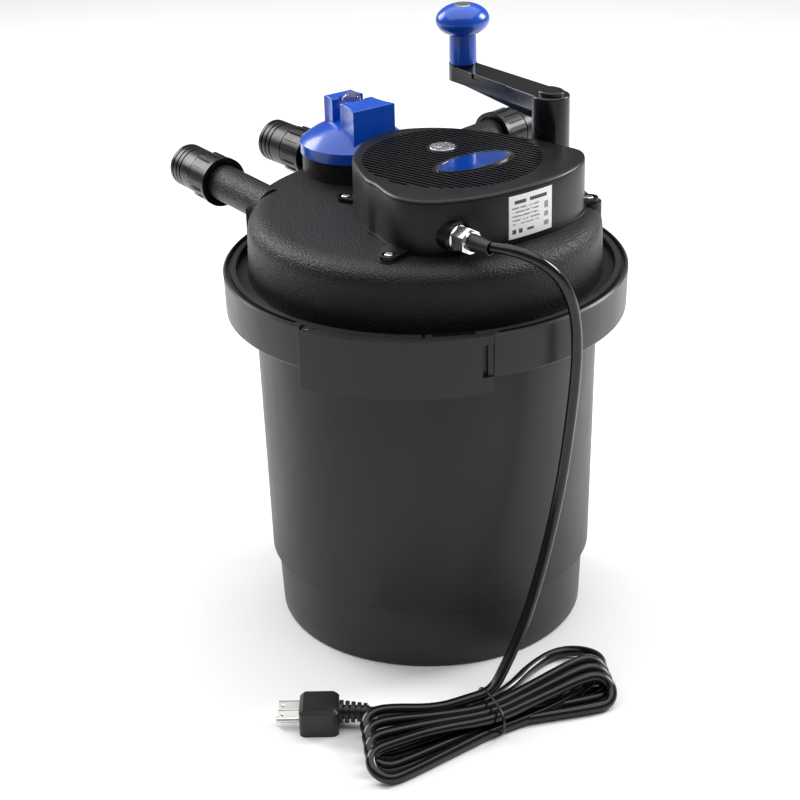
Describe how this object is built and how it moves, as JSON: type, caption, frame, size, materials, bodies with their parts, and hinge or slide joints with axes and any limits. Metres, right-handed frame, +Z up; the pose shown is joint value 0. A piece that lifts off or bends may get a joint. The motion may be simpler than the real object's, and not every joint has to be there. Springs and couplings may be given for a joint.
{
  "type": "pressurised pond filter",
  "caption": "Black pressure filter canister with UV lamp housing, hand crank for cleaning its sponges, blue valve dial, hose ports and a hanked mains cord.",
  "frame": {"origin": "middle of the bucket underside, on the surface it stands on", "axes": "+Z up, -Y towards the latch side, +X to the right seen from the latch"},
  "size_m": [0.3727, 0.5612, 0.4685],
  "materials": {
    "band_plastic": "satin moulded plastic, dark grey",
    "black_rubber": "smooth rubber",
    "blue_plastic": "glossy royal blue moulding",
    "brass_plate": "nickel plated blades",
    "bright_trim": "bright plating",
    "bucket_plastic": "satin moulded polypropylene, dark grey",
    "clear_glass": "clear quartz",
    "clear_plastic": "clear moulding",
    "coarse_foam": "open-cell sponge",
    "cord_rubber": "satin sheathed cord",
    "cover_plastic": "satin black moulding",
    "crank_plastic": "semi-gloss black moulding",
    "fine_foam": "open-cell sponge",
    "hose_plastic": "semi-gloss black moulding",
    "label_white": null,
    "lid_plastic": "fine leather grain, black",
    "plug_rubber": "moulded plug, satin",
    "steel": "plain steel",
    "tie_plastic": "thin coated wire",
    "white_plastic": "plain white moulding"
  },
  "bodies": {
    "canister": {"bucket": "bucket_plastic", "lid_seal": "black_rubber", "lid": "lid_plastic", "clamp_band": "band_plastic", "latch_pin": "steel", "lamp_cover": "cover_plastic", "cover_screws": "steel", "sight_window": "clear_plastic", "badge_rim": "bright_trim", "badge": "blue_plastic", "rating_label": "label_white", "gland_body": "bright_trim", "gland_nut": "bright_trim", "gland_boot": "black_rubber", "ballast": "cover_plastic", "sleeve_seal": "black_rubber", "quartz_sleeve": "clear_glass", "lamp_socket": "white_plastic", "uv_lamp": "clear_glass", "valve_seal": "black_rubber", "scraper_bar": "hose_plastic", "power_cord": "cord_rubber", "plug_lead": "cord_rubber", "cord_hank": "cord_rubber", "cord_tie": "tie_plastic", "plug_body": "plug_rubber", "plug_prongs": "brass_plate", "plug_relief": "plug_rubber", "inlet_tail": "hose_plastic", "inlet_seal": "black_rubber", "return_tail": "hose_plastic", "return_seal": "black_rubber", "waste_tail": "hose_plastic", "waste_seal": "black_rubber"},
    "latch": {"latch_lever": "band_plastic"},
    "dial": {"valve_dial": "blue_plastic", "dial_dome": "clear_plastic", "valve_rotor": "hose_plastic"},
    "crank": {"crank_arm": "crank_plastic", "crank_cap": "crank_plastic", "crank_shaft": "steel", "pinion": "white_plastic", "knob_pin": "steel"},
    "knob": {"crank_knob": "blue_plastic", "knob_insert": "bright_trim"},
    "carousel": {"carousel_gear": "white_plastic", "core_tube": "hose_plastic", "lower_foam": "coarse_foam", "middle_foam": "coarse_foam", "upper_foam": "fine_foam", "base_plate": "white_plastic", "tie_rods": "steel"},
    "inlet_union": {"inlet_nut": "hose_plastic"},
    "return_union": {"return_nut": "hose_plastic"},
    "waste_union": {"waste_nut": "hose_plastic"}
  },
  "joints": [
    {"name": "latch_hinge", "type": "hinge", "parent": "canister", "child": "latch", "pos_m": [-0.08819, -0.13529, 0.277], "axis": [0, 0, -1], "range_deg": [0, 70]},
    {"name": "dial_turn", "type": "hinge", "parent": "canister", "child": "dial", "pos_m": [-0.057, 0.09, 0.36], "axis": [0, 0, 1], "range_deg": [-90, 90]},
    {"name": "carousel_spin", "type": "hinge", "parent": "canister", "child": "carousel", "pos_m": [0, 0, 0.2], "axis": [0, 0, 1], "continuous": true},
    {"name": "crank_spin", "type": "hinge", "parent": "canister", "child": "crank", "pos_m": [0.1012, 0.04914, 0.36], "axis": [0, 0, 1], "continuous": true},
    {"name": "knob_spin", "type": "hinge", "parent": "crank", "child": "knob", "pos_m": [0.034, 0.1354, 0.44], "axis": [0, 0, 1], "continuous": true},
    {"name": "inlet_nut_spin", "type": "hinge", "parent": "canister", "child": "inlet_union", "pos_m": [-0.1732, 0.1135, 0.331], "axis": [-0.5798, 0.8147, 0], "continuous": true},
    {"name": "return_nut_spin", "type": "hinge", "parent": "canister", "child": "return_union", "pos_m": [-0.101, 0.1777, 0.331], "axis": [-0.644, 0.765, 0], "continuous": true},
    {"name": "waste_nut_spin", "type": "hinge", "parent": "canister", "child": "waste_union", "pos_m": [0.0692, 0.2192, 0.331], "axis": [0.6816, 0.7317, 0], "continuous": true}
  ],
  "couplings": [
    {"joint": "crank_spin", "follows": "carousel_spin", "ratio": -4.7692}
  ]
}
